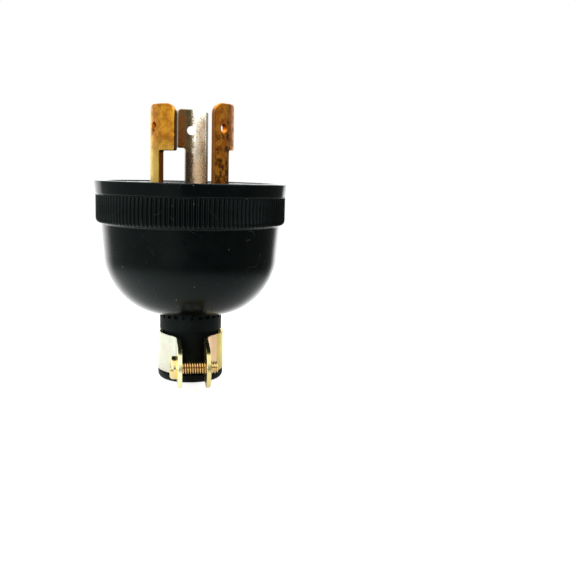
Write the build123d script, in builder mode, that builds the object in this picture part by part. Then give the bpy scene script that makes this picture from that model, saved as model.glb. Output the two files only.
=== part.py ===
from build123d import *

import os
from math import atan2, cos, degrees, radians, sin, sqrt

# A three-blade locking plug: a moulded front body, a bell cover screwed on behind it, a rubber cord bush
# squeezed by a two-strap clamp, and three curved blades with their terminals.
# The plug stands on the end of its cord bush, blades up. The origin is the centre of that end, Z is the
# plug's axis and the clamp's ears point along Y. Lengths are in millimetres, angles in degrees.

# Gaps
fit_gap = 0.1
screw_gap = 0.05
strap_gap = 0.35
strap_play = 0.6

# Heights along the axis, from the end of the bush up to the face
bush_length = 19.9
dome_height = 17.1
side_height = 9.0
knurl_height = 8.35
flange_thickness = 3.75

# Flange and rings of the face, each width taken from the rim inwards
rim_radius = 28.0
flange_taper = 0.4
flange_edge_round = 0.3
rim_width = 3.0
outer_groove_width = 2.2
ring_width = 3.6
inner_groove_width = 3.3
ridge_width = 1.7
ring_drop = 0.3
groove_depth = 1.2
well_depth = 1.5
mould_round = 0.3
boss_length = 9.0

# Bell cover
knurl_inset = 0.6
knurl_depth = 0.6
knurl_count = 132
knurl_land = 0.25
knurl_groove_mouth = 0.78
knurl_groove_root = 0.4
knurl_bevel = 1.5
shoulder_step = 1.6
side_draft = 0.75
dome_fullness = 0.45
bell_wall = 3.4
bell_floor = 2.8

# Cord bush
neck_radius = 9.1
bush_bore_radius = 6.2
seat_depth = 0.95
lip_radius = 9.6
lip_round = 1.7
bush_flange_radius = 12.5
bush_flange_thickness = 2.0
notch_count = 24
notch_width = 1.1
notch_depth = 0.8
notch_height = 1.2

# Blades: curved plates about the axis, each with a hook on its anticlockwise side
blade_outer_radius = 12.1
blade_thickness = 1.7
blade_reach = 21.5
line_tip_round = 3.0
earth_tip_round = 1.2
hook_round = 0.6
blade_edge_round = 0.25
pilot_radius = 1.35
pilot_height = 15.2
earth_angle = 80.6
line_middle_angle = 258.5
line_spread = 109.8
line_stem_angle = 30.0
line_width_angle = 56.0
line_notch_height = 8.6
line_right_rise = 0.65
line_pilot_angle = 2.0
earth_stem_angle = 34.7
earth_width_angle = 48.1
earth_notch_height = 9.95
earth_pilot_angle = 7.6
earth_recess_margin = 1.3
earth_recess_depth = 2.0

# Terminals behind the front body
terminal_inset = 5.1
terminal_tab_width = 9.0
terminal_tab_end = 4.0
terminal_screw_radius = 2.0
terminal_screw_reach = 3.0
terminal_head_radius = 3.7
terminal_head_height = 2.6
terminal_slot_width = 1.0
terminal_slot_depth = 1.2
saddle_size = 8.0
saddle_thickness = 1.2

# Disc that holds the blade feet
retainer_thickness = 2.4
retainer_bore_radius = 5.0
retainer_edge = 2.6
retainer_pad_radius = 3.2
retainer_screw_radius = 1.5
retainer_screw_reach = 5.0
retainer_head_radius = 2.7
retainer_head_height = 1.8
retainer_slot_width = 0.8
retainer_slot_depth = 0.9

# Cord clamp, which sits a little askew on the bush
clamp_tilt = 3.0
strap_lift = 3.0
strap_width = 11.4
strap_thickness = 1.2
strap_end_flat = 0.1
strap_edge_round = 0.2
ear_gap = 6.6
ear_reach = 26.2
ear_bend_radius = 5.5
clamp_screw_radius = 1.75
clamp_screw_end = 1.6
clamp_hole_gap = 0.2
clamp_head_radius = 3.2
clamp_head_height = 2.1
clamp_head_round = 0.9
clamp_cross_length = 3.5
clamp_cross_width = 0.8
clamp_cross_depth = 1.2
clamp_slot_width = 0.8
clamp_slot_depth = 1.0

# Heights and radii that follow
dome_top = bush_length + dome_height
knurl_bottom = dome_top + side_height
bell_top = knurl_bottom + knurl_height
face = bell_top + flange_thickness
well_floor = face - well_depth
boss_back = bell_top - boss_length
bush_flange_bottom = bush_length + bell_floor
tab_back = boss_back - blade_thickness
saddle_back = tab_back - saddle_thickness
retainer_back = tab_back - retainer_thickness

knurl_radius = rim_radius - knurl_inset
shoulder_radius = knurl_radius - shoulder_step
waist_radius = shoulder_radius - side_draft
boss_radius = shoulder_radius - bell_wall
cavity_radius = boss_radius + fit_gap
bush_hole_radius = neck_radius + fit_gap
terminal_radius = boss_radius - terminal_inset
retainer_radius = terminal_radius - saddle_size / 2 - fit_gap
retainer_screw_circle = retainer_radius - retainer_edge
blade_inner_radius = blade_outer_radius - blade_thickness
blade_mean_radius = blade_outer_radius - blade_thickness / 2
slot_gap_angle = degrees(fit_gap / blade_mean_radius)

strap_top = strap_lift + strap_width
strap_middle = strap_lift + strap_width / 2
seat_radius = neck_radius - seat_depth
ear_outside = ear_gap / 2 + strap_thickness
clamp_screw_offset = ear_reach - strap_width / 2

# Each blade: stem's start, stem and full width, notch height, pilot hole's place, tip corners, reach
line_left_angle = line_middle_angle - line_spread / 2
line_right_angle = line_middle_angle + line_spread / 2
blades = {
    "line_blade_left": (
        line_left_angle - line_stem_angle / 2,
        line_stem_angle,
        line_width_angle,
        line_notch_height,
        line_left_angle + line_pilot_angle,
        line_tip_round,
        blade_reach,
    ),
    "line_blade_right": (
        line_right_angle - line_stem_angle / 2,
        line_stem_angle,
        line_width_angle,
        line_notch_height + line_right_rise,
        line_right_angle + line_pilot_angle,
        line_tip_round,
        blade_reach + line_right_rise,
    ),
    "earth_blade": (
        earth_angle - earth_stem_angle / 2,
        earth_stem_angle,
        earth_width_angle,
        earth_notch_height,
        earth_angle + earth_pilot_angle,
        earth_tip_round,
        blade_reach,
    ),
}
tab_angles = {name: start + width / 2 for name, (start, _, width, *_) in blades.items()}
earth_start = blades["earth_blade"][0]

# The three gaps between neighbouring blade feet, where the retaining disc is screwed down
blade_order = ("earth_blade", "line_blade_left", "line_blade_right")
retainer_angles = []
for here, following in zip(blade_order, blade_order[1:] + blade_order[:1]):
    foot_end = blades[here][0] + blades[here][2]
    next_start = blades[following][0]
    if next_start < foot_end:
        next_start += 360
    retainer_angles.append((foot_end + next_start) / 2)


def ring_sector(inner, outer, start, size):
    """Adds a piece of a flat ring to the sketch that is open."""
    with BuildLine() as outline:
        outer_arc = CenterArc((0, 0), outer, start, size)
        inner_arc = CenterArc((0, 0), inner, start, size)
        Line(outer_arc @ 0, inner_arc @ 0)
        Line(outer_arc @ 1, inner_arc @ 1)
    make_face(outline.edges())


def on_circle(radius, angle):
    """A point of the plug's plan at that radius and angle."""
    return (radius * cos(radians(angle)), radius * sin(radians(angle)))


def add_screw(seat, radius, length, head_radius, head_height):
    """Adds a screw to the part that is open: its head's underside on the seat, its shank along the normal."""
    with BuildSketch(seat) as shank:
        Circle(radius)
    extrude(shank.sketch, amount=length)
    with BuildSketch(seat) as head:
        Circle(head_radius)
    extrude(head.sketch, amount=-head_height)


def cut_slot(seat, head_height, length, width, depth, turns):
    """Cuts a driver's slot into a screw's head, once for each turn."""
    with BuildSketch(seat.offset(-head_height)) as slot:
        for turn in turns:
            Rectangle(length, width, rotation=turn)
    extrude(slot.sketch, amount=depth, mode=Mode.SUBTRACT)


def save(part, name):
    """Names a finished piece and writes it."""
    part.label = name
    export_step(part, f"parts/{name}.step")


os.makedirs("parts", exist_ok=True)

# Front body: flange with ringed face, screwed boss behind it, slots for the blades
outer_groove_outside = rim_radius - rim_width
outer_groove_inside = outer_groove_outside - outer_groove_width
inner_groove_outside = outer_groove_inside - ring_width
inner_groove_inside = inner_groove_outside - inner_groove_width
well_radius = inner_groove_inside - ridge_width
ring_level = face - ring_drop
groove_floor = face - groove_depth
with BuildPart() as front_body:
    with BuildSketch(Plane.XZ):
        with BuildLine():
            Polyline(
                (0, boss_back),
                (boss_radius, boss_back),
                (boss_radius, bell_top),
                (rim_radius - flange_taper, bell_top),
                (rim_radius, face),
                (outer_groove_outside, face),
                (outer_groove_outside, groove_floor),
                (outer_groove_inside, groove_floor),
                (outer_groove_inside, ring_level),
                (inner_groove_outside, ring_level),
                (inner_groove_outside, groove_floor),
                (inner_groove_inside, groove_floor),
                (inner_groove_inside, ring_level),
                (well_radius, ring_level),
                (well_radius, well_floor),
                (0, well_floor),
                close=True,
            )
        make_face()
    revolve(axis=Axis.Z)
    ring_edges = front_body.edges().filter_by(GeomType.CIRCLE)
    fillet(ring_edges.filter_by_position(Axis.Z, ring_level - fit_gap, face + fit_gap), mould_round)
    ring_edges = front_body.edges().filter_by(GeomType.CIRCLE)
    lower_edges = ring_edges.filter_by_position(Axis.Z, bell_top - fit_gap, bell_top + fit_gap)
    fillet(lower_edges.sort_by(SortBy.RADIUS)[-1], flange_edge_round)
    with BuildSketch(Plane.XY.offset(boss_back)):
        for angle in retainer_angles:
            with Locations(on_circle(retainer_screw_circle, angle)):
                Circle(retainer_pad_radius)
    extrude(amount=-blade_thickness)
    for start, _, width, *_ in blades.values():
        with BuildSketch(Plane.XY.offset(boss_back)):
            ring_sector(
                blade_inner_radius - fit_gap,
                blade_outer_radius + fit_gap,
                start - slot_gap_angle,
                width + 2 * slot_gap_angle,
            )
        extrude(amount=face - boss_back, mode=Mode.SUBTRACT)
    with BuildSketch(Plane.XY.offset(well_floor)):
        ring_sector(
            blade_inner_radius - earth_recess_margin,
            blade_outer_radius + earth_recess_margin,
            earth_start - slot_gap_angle,
            earth_width_angle + 2 * slot_gap_angle,
        )
    extrude(amount=-earth_recess_depth, mode=Mode.SUBTRACT)
    with BuildSketch(Plane.XY.offset(boss_back)):
        for angle in tab_angles.values():
            with Locations(on_circle(terminal_radius, angle)):
                Circle(terminal_screw_radius + fit_gap)
    extrude(amount=terminal_screw_reach + fit_gap, mode=Mode.SUBTRACT)
    with BuildSketch(Plane.XY.offset(tab_back)):
        for angle in retainer_angles:
            with Locations(on_circle(retainer_screw_circle, angle)):
                Circle(retainer_screw_radius + screw_gap)
    extrude(amount=blade_thickness + retainer_screw_reach + fit_gap, mode=Mode.SUBTRACT)
save(front_body.part, "front_body")

# Bell cover: dome, draughted side, knurled band, bored for the front body and for the bush
dome_run = waist_radius - bush_hole_radius
with BuildPart() as bell_cover:
    with BuildSketch(Plane.XZ):
        with BuildLine():
            Bezier(
                (bush_hole_radius, bush_length),
                (bush_hole_radius + dome_run * (1 - dome_fullness), bush_length),
                (waist_radius, dome_top - dome_height * dome_fullness),
                (waist_radius, dome_top),
            )
            Polyline(
                (waist_radius, dome_top),
                (shoulder_radius, knurl_bottom),
                (knurl_radius, knurl_bottom + knurl_bevel),
                (knurl_radius, bell_top),
                (bush_hole_radius, bell_top),
                (bush_hole_radius, bush_length),
            )
        make_face()
    revolve(axis=Axis.Z)
    inner_start = bush_flange_radius + fit_gap
    inner_run = cavity_radius - inner_start
    inner_rise = dome_top - bush_flange_bottom
    with BuildSketch(Plane.XZ):
        with BuildLine():
            Bezier(
                (inner_start, bush_flange_bottom),
                (inner_start + inner_run * (1 - dome_fullness), bush_flange_bottom),
                (cavity_radius, dome_top - inner_rise * dome_fullness),
                (cavity_radius, dome_top),
            )
            Polyline(
                (cavity_radius, dome_top),
                (cavity_radius, bell_top),
                (0, bell_top),
                (0, bush_flange_bottom),
                (inner_start, bush_flange_bottom),
            )
        make_face()
    revolve(axis=Axis.Z, mode=Mode.SUBTRACT)
    with BuildSketch(Plane.XY.offset(knurl_bottom)):
        with PolarLocations(knurl_radius, knurl_count):
            Polygon(
                (-knurl_depth, -knurl_groove_root / 2),
                (knurl_depth, -knurl_groove_mouth / 2),
                (knurl_depth, knurl_groove_mouth / 2),
                (-knurl_depth, knurl_groove_root / 2),
                align=None,
            )
    extrude(amount=knurl_height - knurl_land, mode=Mode.SUBTRACT)
save(bell_cover.part, "bell_cover")

# Cord bush: rubber sleeve with a seat for the straps, a notched neck and a flange inside the bell
with BuildPart() as cord_bush:
    with BuildSketch(Plane.XZ):
        with BuildLine():
            Polyline(
                (bush_bore_radius, 0),
                (lip_radius, 0),
                (lip_radius, strap_lift - strap_play),
                (seat_radius, strap_lift - strap_play),
                (seat_radius, strap_top + strap_play),
                (neck_radius, strap_top + strap_play),
                (neck_radius, bush_flange_bottom),
                (bush_flange_radius, bush_flange_bottom),
                (bush_flange_radius, bush_flange_bottom + bush_flange_thickness),
                (bush_bore_radius, bush_flange_bottom + bush_flange_thickness),
                close=True,
            )
        make_face()
    revolve(axis=Axis.Z)
    end_edges = cord_bush.edges().filter_by(GeomType.CIRCLE).group_by(Axis.Z)[0]
    fillet(end_edges.sort_by(SortBy.RADIUS)[-1], lip_round)
    with BuildSketch(Plane.XY.offset(bush_length)):
        with PolarLocations(neck_radius, notch_count):
            Rectangle(2 * notch_depth, notch_width)
    extrude(amount=-notch_height, mode=Mode.SUBTRACT)
save(cord_bush.part, "cord_bush")

# Blades: foot in the slot, stem, hook at the top, terminal tab turned out behind the front body
for name, (start, stem, width, notch_height_here, pilot_angle, tip_round, reach) in blades.items():
    tip = face + reach
    notch_top = face + notch_height_here
    with BuildPart() as blade:
        with BuildSketch(Plane.XY.offset(tab_back)):
            ring_sector(blade_inner_radius, blade_outer_radius, start, width)
        extrude(amount=well_floor - tab_back)
        with BuildSketch(Plane.XY.offset(well_floor)):
            ring_sector(blade_inner_radius, blade_outer_radius, start, stem)
        extrude(amount=tip - well_floor)
        with BuildSketch(Plane.XY.offset(notch_top)):
            ring_sector(blade_inner_radius, blade_outer_radius, start, width)
        extrude(amount=tip - notch_top)
        radial_edges = blade.edges().filter_by(GeomType.LINE).filter_by(Axis.Z, reverse=True)
        fillet(radial_edges.group_by(Axis.Z)[-1], tip_round)
        radial_edges = blade.edges().filter_by(GeomType.LINE).filter_by(Axis.Z, reverse=True)
        fillet(radial_edges.filter_by_position(Axis.Z, notch_top - fit_gap, notch_top + fit_gap), hook_round)
        side_faces = blade.faces().filter_by(GeomType.CYLINDER).filter_by_position(Axis.Z, face, tip)
        side_faces = side_faces.sort_by(SortBy.AREA)[-2:]
        rim_edges = side_faces.edges().filter_by_position(Axis.Z, face, tip)
        fillet(rim_edges, blade_edge_round)
        with BuildSketch(Plane.XY.offset(tab_back)):
            tab_length = terminal_radius + terminal_tab_end - blade_mean_radius
            with PolarLocations(blade_mean_radius + tab_length / 2, 1, start_angle=tab_angles[name]):
                Rectangle(tab_length, terminal_tab_width)
        extrude(amount=blade_thickness)
        with BuildSketch(Plane.XY.offset(tab_back)):
            with Locations(on_circle(terminal_radius, tab_angles[name])):
                Circle(terminal_screw_radius + screw_gap)
        extrude(amount=blade_thickness, mode=Mode.SUBTRACT)
        pilot_axis = (*on_circle(1, pilot_angle), 0)
        with BuildSketch(Plane(origin=(0, 0, face + pilot_height), z_dir=pilot_axis)):
            Circle(pilot_radius)
        extrude(amount=2 * blade_outer_radius, mode=Mode.SUBTRACT)
    save(blade.part, name)

# Disc behind the blade feet, and the screws that hold it
with BuildPart() as blade_retainer:
    with BuildSketch(Plane.XY.offset(retainer_back)):
        Circle(retainer_radius)
        Circle(retainer_bore_radius, mode=Mode.SUBTRACT)
        for angle in retainer_angles:
            with Locations(on_circle(retainer_screw_circle, angle)):
                Circle(retainer_screw_radius + fit_gap, mode=Mode.SUBTRACT)
    extrude(amount=retainer_thickness)
save(blade_retainer.part, "blade_retainer")

with BuildPart() as retainer_screws:
    for angle in retainer_angles:
        retainer_place = Location(on_circle(retainer_screw_circle, angle))
        retainer_seat = Plane.XY.offset(retainer_back).move(retainer_place)
        retainer_shank = retainer_thickness + blade_thickness + retainer_screw_reach
        add_screw(
            retainer_seat,
            retainer_screw_radius,
            retainer_shank,
            retainer_head_radius,
            retainer_head_height,
        )
        cut_slot(
            retainer_seat,
            retainer_head_height,
            2 * retainer_head_radius,
            retainer_slot_width,
            retainer_slot_depth,
            (0,),
        )
save(retainer_screws.part, "retainer_screws")

# Wire plates on the terminal tabs
saddle_names = {
    "line_saddle_left": "line_blade_left",
    "line_saddle_right": "line_blade_right",
    "earth_saddle": "earth_blade",
}
for name, carrier in saddle_names.items():
    with BuildPart() as saddle:
        with BuildSketch(Plane.XY.offset(saddle_back)):
            with PolarLocations(terminal_radius, 1, start_angle=tab_angles[carrier]):
                Rectangle(saddle_size, saddle_size)
                Circle(terminal_screw_radius + fit_gap, mode=Mode.SUBTRACT)
        extrude(amount=saddle_thickness)
    save(saddle.part, name)

# Terminal screws
terminal_groups = {
    "line_terminal_screws": ("line_blade_left", "line_blade_right"),
    "earth_terminal_screw": ("earth_blade",),
}
for name, carriers in terminal_groups.items():
    with BuildPart() as terminal_screw:
        for carrier in carriers:
            terminal_place = Location(on_circle(terminal_radius, tab_angles[carrier]))
            terminal_seat = Plane.XY.offset(saddle_back).move(terminal_place)
            terminal_shank = saddle_thickness + blade_thickness + terminal_screw_reach
            add_screw(
                terminal_seat,
                terminal_screw_radius,
                terminal_shank,
                terminal_head_radius,
                terminal_head_height,
            )
            cut_slot(
                terminal_seat,
                terminal_head_height,
                2 * terminal_head_radius,
                terminal_slot_width,
                terminal_slot_depth,
                (tab_angles[carrier],),
            )
    save(terminal_screw.part, name)

# Cord clamp straps: round the bush, then bent out into two ears, one with a plain and one with a tapped hole
strap_mean_radius = seat_radius + strap_gap + strap_thickness / 2
ear_middle = ear_gap / 2 + strap_thickness / 2
bend_centre_x = ear_middle + ear_bend_radius
bend_centre_y = sqrt((strap_mean_radius + ear_bend_radius) ** 2 - bend_centre_x**2)
bend_angle = degrees(atan2(bend_centre_y, bend_centre_x))
tilt_axis = Axis((0, 0, strap_middle), (1, 0, 0))
for name, turn in {"clamp_strap_left": 0, "clamp_strap_right": 180}.items():
    facing = cos(radians(turn))
    with BuildPart() as strap:
        with BuildSketch(Plane.XY.offset(strap_lift).rotated((0, 0, turn))):
            with BuildLine():
                CenterArc((0, 0), strap_mean_radius, 180 - bend_angle, 2 * bend_angle)
                CenterArc((-bend_centre_x, bend_centre_y), ear_bend_radius, 0, -bend_angle)
                CenterArc((-bend_centre_x, -bend_centre_y), ear_bend_radius, 0, bend_angle)
                Line((-ear_middle, bend_centre_y), (-ear_middle, ear_reach))
                Line((-ear_middle, -bend_centre_y), (-ear_middle, -ear_reach))
            trace(line_width=strap_thickness)
        extrude(amount=strap_width)
        end_edges = strap.edges().filter_by(Axis.X).group_by(Axis.Y)
        fillet(end_edges[0] + end_edges[-1], strap_width / 2 - strap_end_flat)
        ear_inside = ear_reach - fit_gap
        bend_seams = strap.edges().filter_by(Axis.Z).filter_by_position(Axis.Y, -ear_inside, ear_inside)
        end_seams = strap.edges().filter_by(Axis.X)
        fillet(strap.edges() - bend_seams - end_seams, strap_edge_round)
        with BuildSketch(Plane.YZ):
            with Locations((-facing * clamp_screw_offset, strap_middle)):
                Circle(clamp_screw_radius + clamp_hole_gap)
            with Locations((facing * clamp_screw_offset, strap_middle)):
                Circle(clamp_screw_radius + screw_gap)
        extrude(amount=ear_reach, both=True, mode=Mode.SUBTRACT)
    save(strap.part.rotate(tilt_axis, clamp_tilt), name)

# Clamp screws: pan heads with a cross in a slot, one from each side
with BuildPart() as clamp_screws:
    clamp_screw_length = ear_outside + ear_outside + clamp_screw_end
    clamp_seats = [
        Plane(
            origin=(-side * ear_outside, -side * clamp_screw_offset, strap_middle),
            x_dir=(0, 1, 0),
            z_dir=(side, 0, 0),
        )
        for side in (1, -1)
    ]
    for seat in clamp_seats:
        add_screw(seat, clamp_screw_radius, clamp_screw_length, clamp_head_radius, clamp_head_height)
    head_edges = clamp_screws.edges().filter_by(GeomType.CIRCLE).group_by(Axis.X)
    fillet(head_edges[0] + head_edges[-1], clamp_head_round)
    for seat in clamp_seats:
        cut_slot(
            seat,
            clamp_head_height,
            clamp_cross_length,
            clamp_cross_width,
            clamp_cross_depth,
            (0, 90),
        )
        cut_slot(
            seat,
            clamp_head_height,
            2 * clamp_head_radius,
            clamp_slot_width,
            clamp_slot_depth,
            (0,),
        )
save(clamp_screws.part.rotate(tilt_axis, clamp_tilt), "clamp_screws")
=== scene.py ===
from math import atan2, cos, pi, radians, sin, tan, tau

import bpy
from mathutils import Matrix, Vector


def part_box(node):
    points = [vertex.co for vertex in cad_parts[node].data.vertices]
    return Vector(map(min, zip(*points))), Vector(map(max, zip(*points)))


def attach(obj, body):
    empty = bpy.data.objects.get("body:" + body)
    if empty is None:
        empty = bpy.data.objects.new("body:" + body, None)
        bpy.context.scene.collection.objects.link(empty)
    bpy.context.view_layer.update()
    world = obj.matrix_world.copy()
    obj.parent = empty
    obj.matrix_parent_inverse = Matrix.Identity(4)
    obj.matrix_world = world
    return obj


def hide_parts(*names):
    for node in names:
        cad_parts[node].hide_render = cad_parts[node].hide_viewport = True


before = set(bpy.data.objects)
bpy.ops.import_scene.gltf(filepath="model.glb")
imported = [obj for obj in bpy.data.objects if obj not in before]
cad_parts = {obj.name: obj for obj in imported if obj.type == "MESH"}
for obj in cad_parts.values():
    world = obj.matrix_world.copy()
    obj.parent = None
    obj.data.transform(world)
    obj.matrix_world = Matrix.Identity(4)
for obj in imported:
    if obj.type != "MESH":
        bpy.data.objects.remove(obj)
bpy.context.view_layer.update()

# A three-blade locking plug that stands on the end of its cord bush, blades up.
# Sizes are in millimetres and angles in degrees; mm turns a size into Blender's metres.
mm = 0.001
weld = 0.001 * mm

# Bell cover: its ends and its widest radius come from the solid
bell_low, bell_high = (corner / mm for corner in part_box("bell_cover"))
bell_bottom = bell_low.z
bell_top = bell_high.z
knurl_radius = bell_high.x
bush_hole_radius = 9.2
waist_radius = 25.05
shoulder_radius = 25.8
dome_top = 37.0
dome_fullness = 0.45
dome_steps = 26
knurl_bottom = 46.0
knurl_round = 1.5
knurl_depth = 0.6
knurl_count = 132
knurl_columns = 8
knurl_land = 0.25
groove_press = (1.0, 0.96, 0.6, 0.15)
ridge_gloss = 0.34
lip_round = 0.18
cavity_radius = 22.5
cavity_bottom = 22.7
cavity_start = 12.6
cavity_steps = 8

# Clamp screws: pan heads with a cross recess, threaded to the tip, askew with the clamp
screws_low, screws_high = (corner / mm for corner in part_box("clamp_screws"))
clamp_tilt = 3.0
head_radius = 3.2
head_height = 2.1
head_round = 0.9
head_steps = 48
screw_height = (screws_high.z + screws_low.z) / 2
screw_offset = 20.5
screw_reach = screws_high.x - screws_low.x - head_height
screw_seat = screws_low.x + head_height
thread_radius = 1.75
thread_core = 1.25
thread_pitch = 0.67
thread_steps = 32
tip_taper = 0.5
tip_scale = 0.86
head_edge = 0.08
cross_length = 3.4
cross_width = 0.85
cross_depth = 1.3
cross_narrowing = 0.6
slot_width = 0.8
slot_depth = 1.0

# Cord bush: sharp edges of the rubber are softened by this much
rubber_round = 0.16
rubber_round_steps = 2

# Blades: angles round the plug's axis where painted highlights, shade and reflections begin, the height of
# the notch, and their ends
left_start_angle = 188.6
hook_end_angle = 244.6
stem_end_angle = 218.6
right_start_angle = 298.4
right_hook_angle = 354.4
earth_split_angle = 90.0
notch_height = 66.7
blade_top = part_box("line_blade_right")[1].z / mm
face_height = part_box("front_body")[1].z / mm

# Wear of the mouldings: dust specks, rub marks, and the tint that black plastic gives to what it mirrors
dust_per_mm = 0.42
dust_share = 0.5
mark_share = 0.1
dust_colour = (0.42, 0.46, 0.45)
dust_roughness = 0.4
knurl_roughness = 0.12
knurl_wear = 0.3
gloss_tint = (0.78, 1.0, 0.97)

# Wear of the metals: fine pits, rougher stains, the foot of a blade as shares of its height; and how deep the
# painted shade in the roots of the screws' threads reaches
pit_share = 0.5
stain_roughness = 0.2
foot_begins = 0.42
foot_full = 0.8
foot_share = 0.8
root_shade_depth = 0.22

# Camera, as the photograph was taken
camera_place = (-10.77, -237.15, 61.29)
camera_heading = 80.41
camera_pitch = 8.17
camera_roll = -1.40
camera_lens = 50.0
camera_sensor = 36.0

# Room light, by direction: a white backdrop, a left wall with a window, a dim front, a dim right wall and
# a soft ceiling. Each panel has a heading, the half width of its core, the half width to its edge and a
# brightness. Below the horizon the walls are dim; above it they are brighter
backdrop = (94.0, 38.0, 50.0, 1.3)
left_wall = (197.0, 54.0, 64.0, 0.4)
left_window = (238.0, 4.0, 16.0, 0.25)
upper_left_wall = (204.0, 60.0, 66.0, 0.75)
upper_window = (245.0, 19.0, 23.0, 2.9)
upper_right_wall = (352.0, 20.0, 38.0, 0.45)
front_low = 0.13
front_high = 0.17
ceiling_bright = 1.0
dim_tint = (0.93, 1.0, 0.98)
dim_level = 0.3
horizon_bottom = -0.03
horizon_top = 0.07
ceiling_begins = 0.1
ceiling_full = 0.6

# Table top that the plug stands on: its size, how far it is lifted towards white for the camera and for
# reflections, the circle beyond which reflections no longer show it, and a painted soft shadow of the plug in
# them
table_size = 520.0
table_paint = (0.8, 0.8, 0.8)
table_lift = 0.75
table_glow = 0.57
table_heart = (-16.0, 16.0, 0.0)
table_near = 40.0
table_far = 130.0
table_shade = (22.0, -16.0, 0.0)
shade_near = 14.0
shade_far = 60.0
shade_depth = 0.7


# Meshes


def begin(name, add_primitive, **sizes):
    """A new primitive, alone selected, open in edit mode."""
    bpy.ops.object.select_all(action="DESELECT")
    add_primitive(**sizes)
    piece = bpy.context.active_object
    piece.name = name
    piece.data.name = name
    bpy.ops.object.mode_set(mode="EDIT")
    bpy.ops.mesh.select_mode(type="VERT")
    return piece


def begin_outline(name, points):
    """A line of edges in the XZ plane, drawn by extruding one vertex through (radius, height) points."""
    piece = begin(name, bpy.ops.mesh.primitive_plane_add, size=mm)
    bpy.ops.mesh.merge(type="CENTER")
    path = [Vector((radius, 0, height)) * mm for radius, height in points]
    bpy.ops.transform.translate(value=path[0])
    for here, there in zip(path, path[1:]):
        bpy.ops.mesh.extrude_region_move(TRANSFORM_OT_translate={"value": there - here})
    bpy.ops.mesh.select_all(action="SELECT")
    bpy.ops.mesh.remove_doubles(threshold=weld)
    return piece


def turn_outline(steps, angle=tau):
    """Spins what is open in edit mode about the plug's axis."""
    bpy.ops.mesh.select_all(action="SELECT")
    bpy.ops.mesh.spin(steps=steps, angle=angle, center=(0, 0, 0), axis=(0, 0, 1))
    close_seams()


def close_seams():
    bpy.ops.mesh.select_all(action="SELECT")
    bpy.ops.mesh.remove_doubles(threshold=weld)
    bpy.ops.mesh.normals_make_consistent(inside=False)


def choose_points(piece, wanted):
    """Selects the points of the open piece whose place, in millimetres, is wanted; says if there are any."""
    bpy.ops.mesh.select_all(action="DESELECT")
    bpy.ops.object.mode_set(mode="OBJECT")
    for point in piece.data.vertices:
        point.select = wanted(point.co / mm)
    found = any(point.select for point in piece.data.vertices)
    bpy.ops.object.mode_set(mode="EDIT")
    return found


def end_piece(piece, smooth_angle):
    """Leaves edit mode and shades the piece smooth, with creases over the given angle."""
    bpy.ops.object.mode_set(mode="OBJECT")
    bpy.ops.object.shade_smooth_by_angle(angle=radians(smooth_angle))
    return piece


def apply_modifier(piece, kind, **settings):
    modifier = piece.modifiers.new(kind.title(), kind)
    for name, value in settings.items():
        setattr(modifier, name, value)
    bpy.ops.object.modifier_apply(modifier=modifier.name)


def join_to(piece, others):
    """Joins other meshes into the piece."""
    bpy.ops.object.select_all(action="DESELECT")
    for other in others:
        other.select_set(True)
    piece.select_set(True)
    bpy.context.view_layer.objects.active = piece
    bpy.ops.object.join()


def bow(start, end, bottom, top, steps):
    """Points of a dome's outline, flat at its low inner end and upright at its outer end."""
    run = end - start
    rise = top - bottom
    corners = [
        Vector((start, bottom)),
        Vector((start + run * (1 - dome_fullness), bottom)),
        Vector((end, top - rise * dome_fullness)),
        Vector((end, top)),
    ]
    points = []
    for step in range(steps + 1):
        t = step / steps
        weights = ((1 - t) ** 3, 3 * t * (1 - t) ** 2, 3 * t * t * (1 - t), t**3)
        points.append(tuple(sum((c * w for c, w in zip(corners, weights)), Vector((0, 0)))))
    return points


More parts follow.
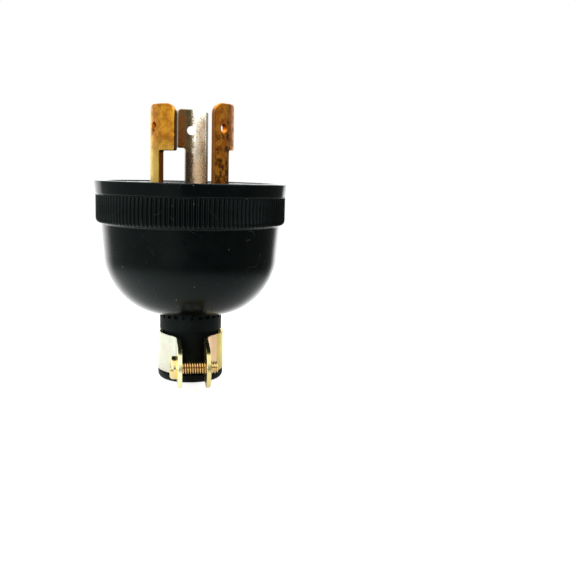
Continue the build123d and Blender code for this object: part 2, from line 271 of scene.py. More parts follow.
def make_bell():
    """Dome, drafted side and knurled band. One pitch of the knurl is shaped, then copied round the axis."""
    knurl_top = bell_top - knurl_land
    overhang = knurl_radius - shoulder_radius
    root_radius = knurl_radius - knurl_depth
    groove_end = 0.08
    rounding = [radians(angle) for angle in (8, 20, 30, 39, 48, 58, 70, 90)]
    under_knurl = [
        (shoulder_radius + overhang * sin(a), knurl_bottom + knurl_round * (1 - cos(a))) for a in rounding
    ]
    outline = bow(bush_hole_radius, waist_radius, bell_bottom, dome_top, dome_steps)
    draft = shoulder_radius - waist_radius
    side = knurl_bottom - dome_top
    outline += [(waist_radius + draft * share, dome_top + side * share) for share in (0.5, 0.94, 0.985)]
    outline += under_knurl
    outline += [
        (knurl_radius, knurl_bottom + knurl_round + lip_round),
        (knurl_radius, knurl_top - groove_end),
        (knurl_radius, knurl_top),
        (knurl_radius, bell_top - lip_round),
        (knurl_radius - lip_round / 3, bell_top - lip_round / 3),
        (knurl_radius - lip_round, bell_top),
        (cavity_radius, bell_top),
    ]
    outline += reversed(bow(cavity_start, cavity_radius, cavity_bottom, dome_top, cavity_steps))
    outline += [(bush_hole_radius, cavity_bottom), (bush_hole_radius, bell_bottom)]
    bell = begin_outline("bell_moulding", outline)
    pitch_angle = tau / knurl_count
    turn_outline(knurl_columns, pitch_angle)
    groove_top = knurl_top - groove_end / 2
    pressed_rings = {(r, z) for r, z in outline if r > root_radius + weld / mm and z < groove_top}
    for ring_radius, ring_height in sorted(pressed_rings):
        for column, share in enumerate(groove_press):

            def in_column(place):
                index = round(atan2(place.y, place.x) / pitch_angle * knurl_columns) % knurl_columns
                at_ring = abs(place.z - ring_height) < groove_end / 4 and place.xy.length > root_radius
                return at_ring and min(index, knurl_columns - index) == column

            if choose_points(bell, in_column):
                scale = 1 - (ring_radius - root_radius) * share / ring_radius
                bpy.ops.transform.resize(value=(scale, scale, 1), center_override=(0, 0, 0))
    bpy.ops.mesh.select_all(action="SELECT")
    copies = knurl_count - 1
    bpy.ops.mesh.spin(
        steps=copies, dupli=True, angle=pitch_angle * copies, center=(0, 0, 0), axis=(0, 0, 1)
    )
    close_seams()
    return end_piece(bell, 62)


def make_cross_cutter():
    """Crossed wedges and a slot: the driver's recess of a head whose top is at the origin, facing -Z."""
    wedges = []
    recesses = (
        (cross_length, cross_width, cross_depth, cross_narrowing, 0),
        (cross_length, cross_width, cross_depth, cross_narrowing, pi / 2),
        (3 * head_radius, slot_width, slot_depth, 1, pi / 2),
    )
    for length, width, depth, narrowing, turn in recesses:
        wedge = begin("cross_cutter", bpy.ops.mesh.primitive_cube_add, size=mm)
        bpy.ops.transform.resize(value=(length, width, 2 * depth))
        choose_points(wedge, lambda place: place.z > 0)
        bpy.ops.transform.resize(value=(narrowing, 1, 1))
        bpy.ops.mesh.select_all(action="SELECT")
        bpy.ops.transform.rotate(value=turn, orient_axis="Z", center_override=(0, 0, 0))
        bpy.ops.object.mode_set(mode="OBJECT")
        wedges.append(wedge)
    cutter = wedges.pop()
    for wedge in wedges:
        apply_modifier(cutter, "BOOLEAN", operation="UNION", solver="EXACT", object=wedge)
        bpy.data.objects.remove(wedge)
    return cutter


def make_screw():
    """One screw along Z: its head's seat at the origin, its thread upwards."""
    turns = round(screw_reach / thread_pitch) + 3
    crest = [(thread_radius, 0.36), (thread_radius, 0.64)]
    flank = [(thread_core, 0), (thread_core, 0.1), *crest, (thread_core, 0.9), (thread_core, 1)]
    shank = begin_outline("screw_thread", [(r, (share - 2) * thread_pitch) for r, share in flank])
    bpy.ops.object.mode_set(mode="OBJECT")
    apply_modifier(
        shank,
        "SCREW",
        axis="Z",
        angle=tau,
        screw_offset=thread_pitch * mm,
        iterations=turns,
        steps=thread_steps,
        render_steps=thread_steps,
    )
    bpy.ops.object.mode_set(mode="EDIT")
    close_seams()
    for height, side in ((-thread_pitch / 2, -1), (screw_reach, 1)):
        bpy.ops.mesh.select_all(action="SELECT")
        bpy.ops.mesh.bisect(
            plane_co=(0, 0, height * mm),
            plane_no=(0, 0, side),
            use_fill=True,
            clear_outer=True,
            threshold=weld,
        )
    choose_points(shank, lambda place: place.z > screw_reach - tip_taper)
    bpy.ops.transform.resize(value=(tip_scale, tip_scale, 1), center_override=(0, 0, 0))
    close_seams()
    end_piece(shank, 40)

    rounding = [radians(angle) for angle in range(0, 91, 15)]
    dome = [
        (head_radius - head_round * (1 - cos(a)), -head_height + head_round * (1 - sin(a))) for a in rounding
    ]
    head = begin_outline("screw_head", [(0, 0), (head_radius, 0)] + dome + [(0, -head_height)])
    turn_outline(head_steps)
    bpy.ops.object.mode_set(mode="OBJECT")
    cutter = make_cross_cutter()
    cutter.data.transform(Matrix.Translation((0, 0, -head_height * mm)))
    bpy.ops.object.select_all(action="DESELECT")
    head.select_set(True)
    bpy.context.view_layer.objects.active = head
    apply_modifier(head, "BOOLEAN", operation="DIFFERENCE", solver="EXACT", object=cutter)
    bpy.data.objects.remove(cutter)
    apply_modifier(
        head, "BEVEL", width=head_edge * mm, segments=2, limit_method="ANGLE", angle_limit=radians(50)
    )
    bpy.ops.object.shade_smooth_by_angle(angle=radians(40))
    join_to(shank, [head])
    return shank


def make_clamp_screws():
    """The two screws of the clamp, driven in from opposite sides."""
    first = make_screw()
    first.name = "threaded_clamp_screws"
    first.data.name = first.name
    place = Vector((screw_seat, -screw_offset, screw_height)) * mm
    first.data.transform(Matrix.Translation(place) @ Matrix.Rotation(pi / 2, 4, "Y"))
    second = bpy.data.objects.new("second_screw", first.data.copy())
    bpy.context.scene.collection.objects.link(second)
    second.data.transform(Matrix.Rotation(pi, 4, "Z"))
    join_to(first, [second])
    pivot = Vector((0, 0, screw_height)) * mm
    lean = Matrix.Rotation(radians(clamp_tilt), 4, "X")
    first.data.transform(Matrix.Translation(pivot) @ lean @ Matrix.Translation(-pivot))
    return first


def make_softened(name, node, width, steps):
    """A copy of a solid's mesh with its sharp edges rounded."""
    piece = bpy.data.objects.new(name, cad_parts[node].data.copy())
    bpy.context.scene.collection.objects.link(piece)
    bpy.ops.object.select_all(action="DESELECT")
    piece.select_set(True)
    bpy.context.view_layer.objects.active = piece
    bpy.ops.mesh.customdata_custom_splitnormals_clear()
    bpy.ops.object.mode_set(mode="EDIT")
    bpy.ops.mesh.select_all(action="SELECT")
    bpy.ops.mesh.remove_doubles(threshold=weld)
    bpy.ops.mesh.dissolve_limited(angle_limit=radians(0.5))
    bpy.ops.object.mode_set(mode="OBJECT")
    apply_modifier(
        piece, "BEVEL", width=width * mm, segments=steps, limit_method="ANGLE", angle_limit=radians(40)
    )
    bpy.ops.object.shade_smooth_by_angle(angle=radians(35))
    apply_modifier(piece, "WEIGHTED_NORMAL", keep_sharp=True)
    return piece


# Node trees


class Wiring:
    """Short ways to add joined nodes to one tree."""

    def __init__(self, tree):
        self.tree = tree

    def add(self, kind, sockets=None, **settings):
        made = self.tree.nodes.new(kind)
        for name, value in settings.items():
            setattr(made, name, value)
        for key, value in (sockets or {}).items():
            if isinstance(value, bpy.types.NodeSocket):
                self.tree.links.new(value, made.inputs[key])
            else:
                made.inputs[key].default_value = value
        return made

    def noise(self, vector, scale, detail=2.0, roughness=0.5):
        sockets = {"Vector": vector, "Scale": scale, "Detail": detail, "Roughness": roughness}
        return self.add("ShaderNodeTexNoise", sockets).outputs["Fac"]

    def sum(self, kind, a, b=0.0, clamp=False):
        return self.add("ShaderNodeMath", {0: a, 1: b}, operation=kind, use_clamp=clamp).outputs[0]

    def ramp(self, value, low, high, start=0.0, end=1.0, soft=True):
        sockets = {"Value": value, "From Min": low, "From Max": high, "To Min": start, "To Max": end}
        kind = "SMOOTHSTEP" if soft else "LINEAR"
        return self.add("ShaderNodeMapRange", sockets, interpolation_type=kind).outputs["Result"]

    def blend(self, share, a, b):
        return self.add("ShaderNodeMix", {0: share, 6: a, 7: b}, data_type="RGBA").outputs[2]

    def spread(self, value, stops):
        made = self.add("ShaderNodeValToRGB", {"Fac": value})
        ramp = made.color_ramp
        while len(ramp.elements) < len(stops):
            ramp.elements.new(1.0)
        for element, (place, colour) in zip(ramp.elements, stops):
            element.position = place
            element.color = (*colour, 1.0)
        return made.outputs["Color"]

    def use(self, group, sockets):
        made = self.add("ShaderNodeGroup", node_tree=group)
        for key, value in sockets.items():
            if isinstance(value, bpy.types.NodeSocket):
                self.tree.links.new(value, made.inputs[key])
            else:
                made.inputs[key].default_value = value
        return made.outputs


def begin_group(name, inputs, outputs):
    """A shader group with its sockets: the wiring, the inputs and a function that joins an output."""
    tree = bpy.data.node_groups.new(name, "ShaderNodeTree")
    for socket, kind in inputs.items():
        tree.interface.new_socket(socket, in_out="INPUT", socket_type=kind)
    for socket, kind in outputs.items():
        tree.interface.new_socket(socket, in_out="OUTPUT", socket_type=kind)
    wiring = Wiring(tree)
    entry = wiring.add("NodeGroupInput").outputs
    leave = wiring.add("NodeGroupOutput").inputs
    return wiring, entry, lambda socket, name: tree.links.new(socket, leave[name])


def make_dust_group():
    """Pale specks of dust and lint, scattered one to a cell and left out of most cells."""
    wiring, entry, put = begin_group(
        "dust_specks",
        {"Vector": "NodeSocketVector", "Per mm": "NodeSocketFloat", "Share": "NodeSocketFloat"},
        {"Mask": "NodeSocketFloat"},
    )
    cells = wiring.add("ShaderNodeTexVoronoi", {"Vector": entry["Vector"], "Scale": entry["Per mm"]})
    chance = wiring.add("ShaderNodeSeparateColor", {"Color": cells.outputs["Color"]}).outputs
    size = wiring.ramp(chance[0], 0, 1, 0.03, 0.09, soft=False)
    edge = wiring.sum("MULTIPLY", size, 0.4)
    speck = wiring.ramp(cells.outputs["Distance"], size, edge)
    kept = wiring.sum("LESS_THAN", chance[1], entry["Share"])
    put(wiring.sum("MULTIPLY", speck, kept), "Mask")
    return wiring.tree


def make_scratch_group():
    """Fine curved rub marks, broken into short runs."""
    wiring, entry, put = begin_group(
        "fine_scratches", {"Vector": "NodeSocketVector"}, {"Mask": "NodeSocketFloat"}
    )
    field = wiring.noise(entry["Vector"], 0.11, 1.0)
    off_line = wiring.sum("ABSOLUTE", wiring.sum("SUBTRACT", field, 0.5))
    line = wiring.ramp(off_line, 0.0022, 0.0008)
    runs = wiring.ramp(wiring.noise(entry["Vector"], 0.19, 2.0), 0.56, 0.62)
    put(wiring.sum("MULTIPLY", line, runs), "Mask")
    return wiring.tree


def make_grain_group():
    """The fine uneven skin of a moulding, and the slow wave of its surface."""
    wiring, entry, put = begin_group(
        "moulded_skin",
        {"Vector": "NodeSocketVector"},
        {"Height": "NodeSocketFloat", "Sheen": "NodeSocketFloat"},
    )
    fine = wiring.noise(entry["Vector"], 4.5, 3.0, 0.6)
    slow = wiring.noise(entry["Vector"], 0.35, 2.0)
    put(wiring.sum("ADD", fine, wiring.sum("MULTIPLY", slow, 1.5)), "Height")
    put(wiring.ramp(wiring.noise(entry["Vector"], 0.16, 4.0, 0.6), 0.35, 0.65), "Sheen")
    return wiring.tree


def make_patina_group():
    """Stains of old metal: broad clouds, dark blotches that gather low down, and fine pits."""
    wiring, entry, put = begin_group(
        "metal_patina",
        {"Vector": "NodeSocketVector", "Low": "NodeSocketFloat", "High": "NodeSocketFloat"},
        {
            "Cloud": "NodeSocketFloat",
            "Blotch": "NodeSocketFloat",
            "Pits": "NodeSocketFloat",
            "Depth": "NodeSocketFloat",
        },
    )
    put(wiring.ramp(wiring.noise(entry["Vector"], 0.42, 5.0, 0.66), 0.38, 0.62), "Cloud")
    height = wiring.add("ShaderNodeSeparateXYZ", {"Vector": entry["Vector"]}).outputs["Z"]
    downwards = wiring.ramp(height, entry["High"], entry["Low"], soft=False)
    put(downwards, "Depth")
    spots = wiring.noise(entry["Vector"], 0.5, 4.0, 0.62)
    gathered = wiring.sum("ADD", spots, wiring.sum("MULTIPLY", downwards, 0.2))
    put(wiring.ramp(gathered, 0.56, 0.73), "Blotch")
    put(wiring.ramp(wiring.noise(entry["Vector"], 2.0, 3.0, 0.6), 0.46, 0.66), "Pits")
    return wiring.tree


def make_chromate_group():
    """The drifting yellow, pink and green tints of a chromated zinc coat."""
    wiring, entry, put = begin_group(
        "chromate_tints",
        {"Vector": "NodeSocketVector", "Per mm": "NodeSocketFloat"},
        {"Color": "NodeSocketColor", "Cloud": "NodeSocketFloat"},
    )
    drift = wiring.noise(entry["Vector"], entry["Per mm"], 1.0, 0.4)
    tints = (
        (0.30, (0.92, 0.70, 0.58)),
        (0.40, (0.95, 0.78, 0.60)),
        (0.47, (0.95, 0.90, 0.62)),
        (0.54, (0.94, 0.93, 0.78)),
        (0.61, (0.84, 0.90, 0.52)),
        (0.70, (0.93, 0.74, 0.62)),
    )
    put(wiring.spread(drift, tints), "Color")
    put(wiring.noise(entry["Vector"], 0.5, 2.0), "Cloud")
    return wiring.tree


dust_group = make_dust_group()
scratch_group = make_scratch_group()
grain_group = make_grain_group()
patina_group = make_patina_group()
chromate_group = make_chromate_group()


# Materials


def level_heading(angle):
    """The level direction at that angle from +X."""
    return Vector((cos(radians(angle)), sin(radians(angle)), 0))


def begin_material(name):
    """An empty material: its wiring, its Principled shader's inputs and Object coordinates in millimetres."""
    material = bpy.data.materials.new(name)
    material.use_nodes = True
    wiring = Wiring(material.node_tree)
    material.node_tree.nodes.clear()
    shader = wiring.add("ShaderNodeBsdfPrincipled")
    wiring.add("ShaderNodeOutputMaterial", {"Surface": shader.outputs["BSDF"]})
    place = wiring.add("ShaderNodeTexCoord").outputs["Object"]
    per_mm = wiring.add("ShaderNodeMapping", {"Vector": place, "Scale": (1 / mm, 1 / mm, 1 / mm)})
    return material, wiring, shader, per_mm.outputs["Vector"]


def set_shader(wiring, shader, **sockets):
    for name, value in sockets.items():
        key = name.replace("_", " ").title().replace("Ior", "IOR")
        if isinstance(value, bpy.types.NodeSocket):
            wiring.tree.links.new(value, shader.inputs[key])
        else:
            shader.inputs[key].default_value = value


def make_moulding(name, dark, light, smooth, rough, dust, level, limb, matt_band=None):
    """Black moulded plastic or rubber: uneven skin, dust, and a gloss that grows towards a grazing view.

    If asked, a band between two heights is matt, except for the worn ridges of the knurl.
    """
    material, wiring, shader, vector = begin_material(name)
    skin = wiring.use(grain_group, {"Vector": vector})
    colour = wiring.blend(skin["Sheen"], (*dark, 1), (*light, 1))
    specks = wiring.use(dust_group, {"Vector": vector, "Per mm": dust_per_mm, "Share": dust})["Mask"]
    marks = wiring.use(scratch_group, {"Vector": vector})["Mask"]
    specks = wiring.sum("MULTIPLY", specks, dust_share)
    pale = wiring.sum("ADD", specks, wiring.sum("MULTIPLY", marks, mark_share), True)
    colour = wiring.blend(pale, colour, (*dust_colour, 1))
    roughness = wiring.ramp(skin["Sheen"], 0, 1, smooth, rough, soft=False)
    facing = wiring.add("ShaderNodeLayerWeight", {"Blend": 0.5}).outputs["Facing"]
    gloss = wiring.ramp(facing, 0.55, 0.92, 0, limb)
    if matt_band:
        places = wiring.add("ShaderNodeSeparateXYZ", {"Vector": vector}).outputs
        above = wiring.ramp(places["Z"], matt_band[0], matt_band[0] + 0.6)
        below = wiring.ramp(places["Z"], matt_band[1], matt_band[1] - 0.2)
        matt = wiring.sum("MULTIPLY", above, below)
        roughness = wiring.sum("ADD", roughness, wiring.sum("MULTIPLY", matt, knurl_roughness))
        gloss = wiring.sum("MULTIPLY", gloss, wiring.sum("SUBTRACT", 1.0, matt))
        level_place = wiring.add("ShaderNodeCombineXYZ", {"X": places["X"], "Y": places["Y"]}).outputs[0]
        outwards = wiring.add("ShaderNodeVectorMath", {0: level_place}, operation="LENGTH").outputs["Value"]
        ridges = wiring.ramp(outwards, knurl_radius - knurl_wear, knurl_radius - 0.05, 0, ridge_gloss)
        gloss = wiring.sum("ADD", gloss, wiring.sum("MULTIPLY", matt, ridges))
    roughness = wiring.sum("ADD", roughness, wiring.sum("MULTIPLY", pale, dust_roughness), True)
    bump = wiring.add("ShaderNodeBump", {"Height": skin["Height"], "Strength": 0.1, "Distance": 0.03 * mm})
    set_shader(wiring, shader, base_color=colour, roughness=roughness, normal=bump.outputs["Normal"])
    set_shader(wiring, shader, specular_ior_level=level, coat_weight=gloss, coat_roughness=smooth)
    set_shader(wiring, shader, specular_tint=(*gloss_tint, 1))
    return material


def make_old_metal(name, clean, tarnish, stain, low, high, smooth, rough, stain_share, foot=None, painted_zones=()):
    """Bare strip metal with clouds of tarnish, dark stains and, if asked, a foot of another colour.

    Each painted zone has its own colour, a painted highlight, shade or reflection that stands in for light by
    a blade's edge
    or half: it lies beyond a plane through the plug's axis at an angle, fades in between two distances from
    that plane, counted anticlockwise, and reaches up to a height.
    """
    material, wiring, shader, vector = begin_material(name)
    patina = wiring.use(patina_group, {"Vector": vector, "Low": low, "High": high})
    colour = wiring.blend(patina["Cloud"], (*clean, 1), (*tarnish, 1))
    stains = wiring.sum("MULTIPLY", patina["Blotch"], stain_share)
    colour = wiring.blend(stains, colour, (*stain, 1))
    pits = wiring.sum("MULTIPLY", patina["Pits"], pit_share)
    colour = wiring.blend(pits, colour, (*tarnish, 1))
    if foot:
        low_down = wiring.ramp(patina["Depth"], foot_begins, foot_full, 0, foot_share)
        colour = wiring.blend(low_down, colour, (*foot, 1))
    uneven = wiring.sum("SUBTRACT", patina["Cloud"], patina["Pits"])
    # Painted highlight, shade and reflection: each zone paints a paler or darker colour beside a blade's edge
    for angle, begins, full, top, painted_colour in painted_zones:
        sockets = {0: vector, 1: level_heading(angle + 90)}
        beyond = wiring.add("ShaderNodeVectorMath", sockets, operation="DOT_PRODUCT").outputs["Value"]
        ragged = wiring.sum("MULTIPLY", uneven, (full - begins) / 2)
        height = wiring.add("ShaderNodeSeparateXYZ", {"Vector": vector}).outputs["Z"]
        share = wiring.ramp(wiring.sum("ADD", beyond, ragged), begins, full)
        share = wiring.sum("MULTIPLY", share, wiring.sum("LESS_THAN", height, top))
        colour = wiring.blend(share, colour, (*painted_colour, 1))
    roughness = wiring.ramp(patina["Cloud"], 0, 1, smooth, rough, soft=False)
    roughness = wiring.sum("ADD", roughness, wiring.sum("MULTIPLY", stains, stain_roughness), True)
    bump = wiring.add("ShaderNodeBump", {"Height": uneven, "Strength": 0.2, "Distance": 0.02 * mm})
    set_shader(wiring, shader, base_color=colour, roughness=roughness, normal=bump.outputs["Normal"])
    set_shader(wiring, shader, metallic=1.0)
    return material


def make_chromated(name, tint, tint_share, smooth, rough, drift, zones=(), root_shade_tint=None):
    """Zinc plate with a chromate coat whose tints drift over the surface.

    Each zone has another tint: an axis, the distances along it where the zone begins and is full, the tint.
    A root tint, if given, is painted shade between the ridges of the clamp screws' threads.
    """
    material, wiring, shader, vector = begin_material(name)
    coat = wiring.use(chromate_group, {"Vector": vector, "Per mm": drift})
    colour = wiring.blend(tint_share, coat["Color"], (*tint, 1))
    places = wiring.add("ShaderNodeSeparateXYZ", {"Vector": vector}).outputs
    for axis, begins, full, zone_tint in zones:
        inside = wiring.ramp(wiring.sum("ABSOLUTE", places[axis]), begins, full)
        colour = wiring.blend(inside, colour, (*zone_tint, 1))
    # Painted shade: the roots of the clamp screws' threads are darkened, from the core up to a depth below
    # the crest
    if root_shade_tint:
        lean = wiring.sum("MULTIPLY", places["Y"], tan(radians(clamp_tilt)))
        rise = wiring.sum("SUBTRACT", wiring.sum("SUBTRACT", places["Z"], screw_height), lean)
        reach = screw_offset * cos(radians(clamp_tilt))
        aside = wiring.sum("SUBTRACT", wiring.sum("ABSOLUTE", places["Y"]), reach)
        squares = wiring.sum("ADD", wiring.sum("MULTIPLY", rise, rise), wiring.sum("MULTIPLY", aside, aside))
        ridge = wiring.sum("SQRT", squares)
        roots = wiring.ramp(ridge, thread_radius - root_shade_depth, thread_core)
        shank = wiring.sum("LESS_THAN", wiring.sum("ABSOLUTE", places["X"]), -screw_seat)
        colour = wiring.blend(wiring.sum("MULTIPLY", roots, shank), colour, (*root_shade_tint, 1))
    roughness = wiring.ramp(coat["Cloud"], 0.3, 0.7, smooth, rough, soft=False)
    bump = wiring.add("ShaderNodeBump", {"Height": coat["Cloud"], "Strength": 0.06, "Distance": 0.02 * mm})
    set_shader(wiring, shader, base_color=colour, roughness=roughness, normal=bump.outputs["Normal"])
    set_shader(wiring, shader, metallic=1.0)
    return material


def make_fibre():
    """Brown pressed board of the disc behind the blades."""
    material, wiring, shader, vector = begin_material("pressed_fibre")
    threads = wiring.noise(vector, 2.2, 5.0, 0.7)
    colour = wiring.blend(wiring.ramp(threads, 0.3, 0.7), (0.09, 0.045, 0.022, 1), (0.17, 0.09, 0.045, 1))
    bump = wiring.add("ShaderNodeBump", {"Height": threads, "Strength": 0.3, "Distance": 0.05 * mm})
    set_shader(wiring, shader, base_color=colour, normal=bump.outputs["Normal"], roughness=0.7)
    return material


flange_black = make_moulding(
    "flange_black",
    dark=(0.0016, 0.002, 0.002),
    light=(0.0026, 0.0032, 0.0032),
    smooth=0.06,
    rough=0.11,
    dust=0.5,
    level=0.2,
    limb=0.9,
)
bell_black = make_moulding(
    "bell_black",
    dark=(0.0009, 0.0011, 0.0011),
    light=(0.0015, 0.0019, 0.0018),
    smooth=0.22,
    rough=0.28,
    dust=0.5,
    level=0.2,
    limb=1.0,
    matt_band=(knurl_bottom, bell_top - knurl_land),
)
bush_black = make_moulding(
    "bush_black",
    dark=(0.0009, 0.0011, 0.0011),
    light=(0.0016, 0.002, 0.002),
    smooth=0.5,
    rough=0.6,
    dust=0.2,
    level=0.16,
    limb=0.0,
)
golden_brass = make_old_metal(
    "golden_brass",
    clean=(1.0, 0.46, 0.042),
    tarnish=(0.56, 0.20, 0.018),
    stain=(0.20, 0.08, 0.02),
    low=face_height,
    high=blade_top,
    smooth=0.28,
    rough=0.4,
    stain_share=0.45,
    foot=(1.0, 0.70, 0.15),
    # Painted highlight: pale along the blade's left edge; painted shade: near black on the hook's end, dark
    # on the stem's end up to the notch
    painted_zones=(
        (left_start_angle, 1.8, 0.2, blade_top, (1.0, 0.82, 0.3)),
        (hook_end_angle, -0.35, -0.15, blade_top, (0.06, 0.022, 0.006)),
        (stem_end_angle, -0.3, -0.1, notch_height, (0.26, 0.10, 0.02)),
    ),
)
stained_brass = make_old_metal(
    "stained_brass",
    clean=(1.0, 0.39, 0.04),
    tarnish=(0.62, 0.18, 0.02),
    stain=(0.04, 0.016, 0.006),
    low=face_height,
    high=blade_top,
    smooth=0.3,
    rough=0.42,
    stain_share=0.92,
    # Painted shade: dark brown on the edge where the blade begins and brown on its hook's end
    painted_zones=(
        (right_start_angle, 0.4, 0.15, blade_top, (0.30, 0.12, 0.02)),
        (right_hook_angle, -1.2, -0.2, blade_top, (0.62, 0.24, 0.02)),
    ),
)
dull_nickel = make_old_metal(
    "dull_nickel",
    clean=(1.0, 1.0, 0.92),
    tarnish=(1.0, 1.0, 0.84),
    stain=(0.42, 0.30, 0.18),
    low=face_height,
    high=blade_top,
    smooth=0.2,
    rough=0.3,
    stain_share=0.12,
    foot=(0.31, 0.15, 0.03),
    # Painted reflection and shade: the half of the earth blade before the split is brown, darker below the
    # notch
    painted_zones=(
        (earth_split_angle, -1.3, -0.1, blade_top, (0.33, 0.25, 0.13)),
        (earth_split_angle, -1.3, -0.1, notch_height, (0.18, 0.13, 0.08)),
    ),
)
left_strap_zinc = make_chromated(
    "left_strap_zinc",
    tint=(0.57, 0.60, 0.51),
    tint_share=0.75,
    smooth=0.18,
    rough=0.28,
    drift=0.14,
    zones=[("Y", 13, 17, (1.0, 0.98, 0.58))],
)
right_strap_zinc = make_chromated(
    "right_strap_zinc",
    tint=(0.90, 0.59, 0.33),
    tint_share=0.85,
    smooth=0.18,
    rough=0.28,
    drift=0.14,
    zones=[("X", 6.8, 7.9, (0.64, 0.50, 0.13)), ("Y", 13, 17, (0.88, 0.76, 0.34))],
)
screw_zinc = make_chromated(
    "screw_zinc",
    tint=(1.0, 0.69, 0.22),
    tint_share=0.92,
    smooth=0.14,
    rough=0.22,
    drift=0.5,
    zones=[("X", 4.4, 4.9, (0.88, 0.70, 0.33))],
    # Painted shade in the roots of the threads
    root_shade_tint=(0.34, 0.13, 0.02),
)
inner_steel = make_chromated(
    "inner_steel", tint=(0.62, 0.62, 0.60), tint_share=0.85, smooth=0.3, rough=0.45, drift=0.5
)
terminal_brass = make_old_metal(
    "terminal_brass",
    clean=(0.84, 0.60, 0.24),
    tarnish=(0.62, 0.38, 0.12),
    stain=(0.2, 0.1, 0.04),
    low=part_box("blade_retainer")[0].z / mm,
    high=face_height,
    smooth=0.28,
    rough=0.4,
    stain_share=0.3,
)
pressed_fibre = make_fibre()

node_materials = {
    "front_body": flange_black,
    "bell_cover": bell_black,
    "cord_bush": bush_black,
    "line_blade_left": golden_brass,
    "line_blade_right": stained_brass,
    "earth_blade": dull_nickel,
    "blade_retainer": pressed_fibre,
    "retainer_screws": inner_steel,
    "line_saddle_left": terminal_brass,
    "line_saddle_right": terminal_brass,
    "earth_saddle": terminal_brass,
    "line_terminal_screws": terminal_brass,
    "earth_terminal_screw": inner_steel,
    "clamp_strap_left": left_strap_zinc,
    "clamp_strap_right": right_strap_zinc,
    "clamp_screws": screw_zinc,
}
for node, material in node_materials.items():
    for material_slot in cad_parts[node].material_slots:
        material_slot.material = material


def place_piece(piece, node):
    """The finished piece stands for a solid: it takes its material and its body."""
    piece.data.materials.clear()
    piece.data.materials.append(node_materials[node])
    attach(piece, "root")
    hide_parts(node)


place_piece(make_bell(), "bell_cover")
place_piece(make_clamp_screws(), "clamp_screws")
soft_bush = make_softened("soft_cord_bush", "cord_bush", rubber_round, rubber_round_steps)
place_piece(soft_bush, "cord_bush")


# Floor, room light and camera


def make_table():
    """A plain white table top. The camera sees it lifted to white, reflections in part.

    It keeps the shadow, and from below it is clear, so that it doesn't hide the plug.
    """
    table = begin("table_top", bpy.ops.mesh.primitive_plane_add, size=table_size * mm)
    bpy.ops.object.mode_set(mode="OBJECT")
    material = bpy.data.materials.new("white_table")
    material.use_nodes = True
    material.node_tree.nodes.clear()
    wiring = Wiring(material.node_tree)
    paint = wiring.add("ShaderNodeBsdfDiffuse", {"Color": (*table_paint, 1)})
    rays = wiring.add("ShaderNodeLightPath").outputs
    seen = wiring.sum("MULTIPLY", rays["Is Camera Ray"], table_lift)
    place = wiring.add("ShaderNodeTexCoord").outputs["Object"]

    def away_from(centre):
        sockets = {0: place, 1: Vector(centre) * mm}
        return wiring.add("ShaderNodeVectorMath", sockets, operation="DISTANCE").outputs["Value"]

    # Painted shadow: the glow that reflections see is dimmed round a point to the front right of the plug
    unshaded = wiring.ramp(away_from(table_shade), shade_near * mm, shade_far * mm, 1 - shade_depth, 1)
    glow = wiring.sum("MULTIPLY", unshaded, table_glow)
    mirrored = wiring.sum("MULTIPLY", rays["Is Glossy Ray"], glow)
    lift = wiring.add("ShaderNodeEmission", {"Strength": wiring.sum("ADD", seen, mirrored)})
    both = wiring.add("ShaderNodeAddShader", {0: paint.outputs[0], 1: lift.outputs[0]})
    beyond = wiring.ramp(away_from(table_heart), table_near * mm, table_far * mm)
    underside = wiring.add("ShaderNodeNewGeometry").outputs["Backfacing"]
    fade = wiring.sum("MAXIMUM", wiring.sum("MULTIPLY", beyond, rays["Is Glossy Ray"]), underside)
    clear = wiring.add("ShaderNodeBsdfTransparent")
    faded = wiring.add("ShaderNodeMixShader", {0: fade, 1: both.outputs[0], 2: clear.outputs[0]})
    wiring.add("ShaderNodeOutputMaterial", {"Surface": faded.outputs[0]})
    table.data.materials.append(material)


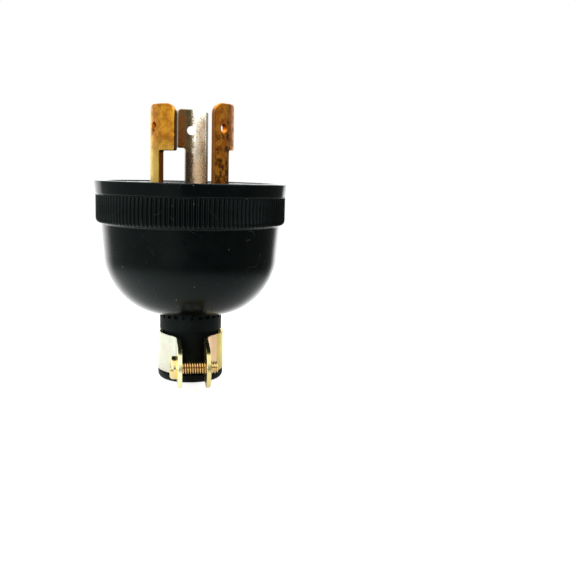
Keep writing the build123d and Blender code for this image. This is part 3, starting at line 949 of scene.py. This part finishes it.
def make_room_light():
    """Bright behind, paler to the left, dim in front, a soft ceiling; plain white to the camera."""
    world = bpy.data.worlds.new("studio")
    bpy.context.scene.world = world
    world.use_nodes = True
    world.node_tree.nodes.clear()
    wiring = Wiring(world.node_tree)
    direction = wiring.add("ShaderNodeTexCoord").outputs["Generated"]

    def towards(heading):
        sockets = {0: direction, 1: level_heading(heading)}
        return wiring.add("ShaderNodeVectorMath", sockets, operation="DOT_PRODUCT").outputs["Value"]

    def panel(heading, core, edge, bright):
        return wiring.ramp(towards(heading), cos(radians(edge)), cos(radians(core)), 0, bright)

    height = wiring.add("ShaderNodeSeparateXYZ", {"Vector": direction}).outputs["Z"]
    low = wiring.sum("ADD", wiring.sum("MAXIMUM", panel(*left_wall), front_low), panel(*left_window))
    high = wiring.sum("MAXIMUM", panel(*upper_left_wall), panel(*upper_window))
    high = wiring.sum("MAXIMUM", wiring.sum("MAXIMUM", high, panel(*upper_right_wall)), front_high)
    walls = wiring.ramp(wiring.ramp(height, horizon_bottom, horizon_top), 0, 1, low, high, soft=False)
    ceiling = wiring.ramp(height, ceiling_begins, ceiling_full, 0, ceiling_bright)
    level = wiring.sum("ADD", wiring.sum("MAXIMUM", panel(*backdrop), walls), ceiling)
    tint = wiring.blend(wiring.ramp(level, dim_level, 1.0), (*dim_tint, 1), (1, 1, 1, 1))
    light = wiring.add("ShaderNodeBackground", {"Strength": level, "Color": tint})
    white = wiring.add("ShaderNodeBackground", {"Strength": 1.0, "Color": (1, 1, 1, 1)})
    seen = wiring.add("ShaderNodeLightPath").outputs["Is Camera Ray"]
    chosen = wiring.add("ShaderNodeMixShader", {0: seen, 1: light.outputs[0], 2: white.outputs[0]})
    wiring.add("ShaderNodeOutputWorld", {"Surface": chosen.outputs[0]})


def make_camera():
    """The photograph's viewpoint: heading, pitch and roll about its own line of sight."""
    heading = radians(camera_heading)
    pitch = radians(camera_pitch)
    roll = radians(camera_roll)
    forward = Vector((cos(heading) * cos(pitch), sin(heading) * cos(pitch), -sin(pitch)))
    level = Vector((sin(heading), -cos(heading), 0))
    down = forward.cross(level)
    right = level * cos(roll) + down * sin(roll)
    up = level * sin(roll) - down * cos(roll)
    data = bpy.data.cameras.new("camera")
    data.lens = camera_lens
    data.sensor_width = camera_sensor
    data.clip_start = 5 * mm
    camera = bpy.data.objects.new("camera", data)
    bpy.context.scene.collection.objects.link(camera)
    turn = Matrix((right, up, -forward)).transposed().to_4x4()
    camera.matrix_world = Matrix.Translation(Vector(camera_place) * mm) @ turn
    bpy.context.scene.camera = camera


make_table()
make_room_light()
make_camera()
bpy.context.scene.view_settings.view_transform = "Standard"
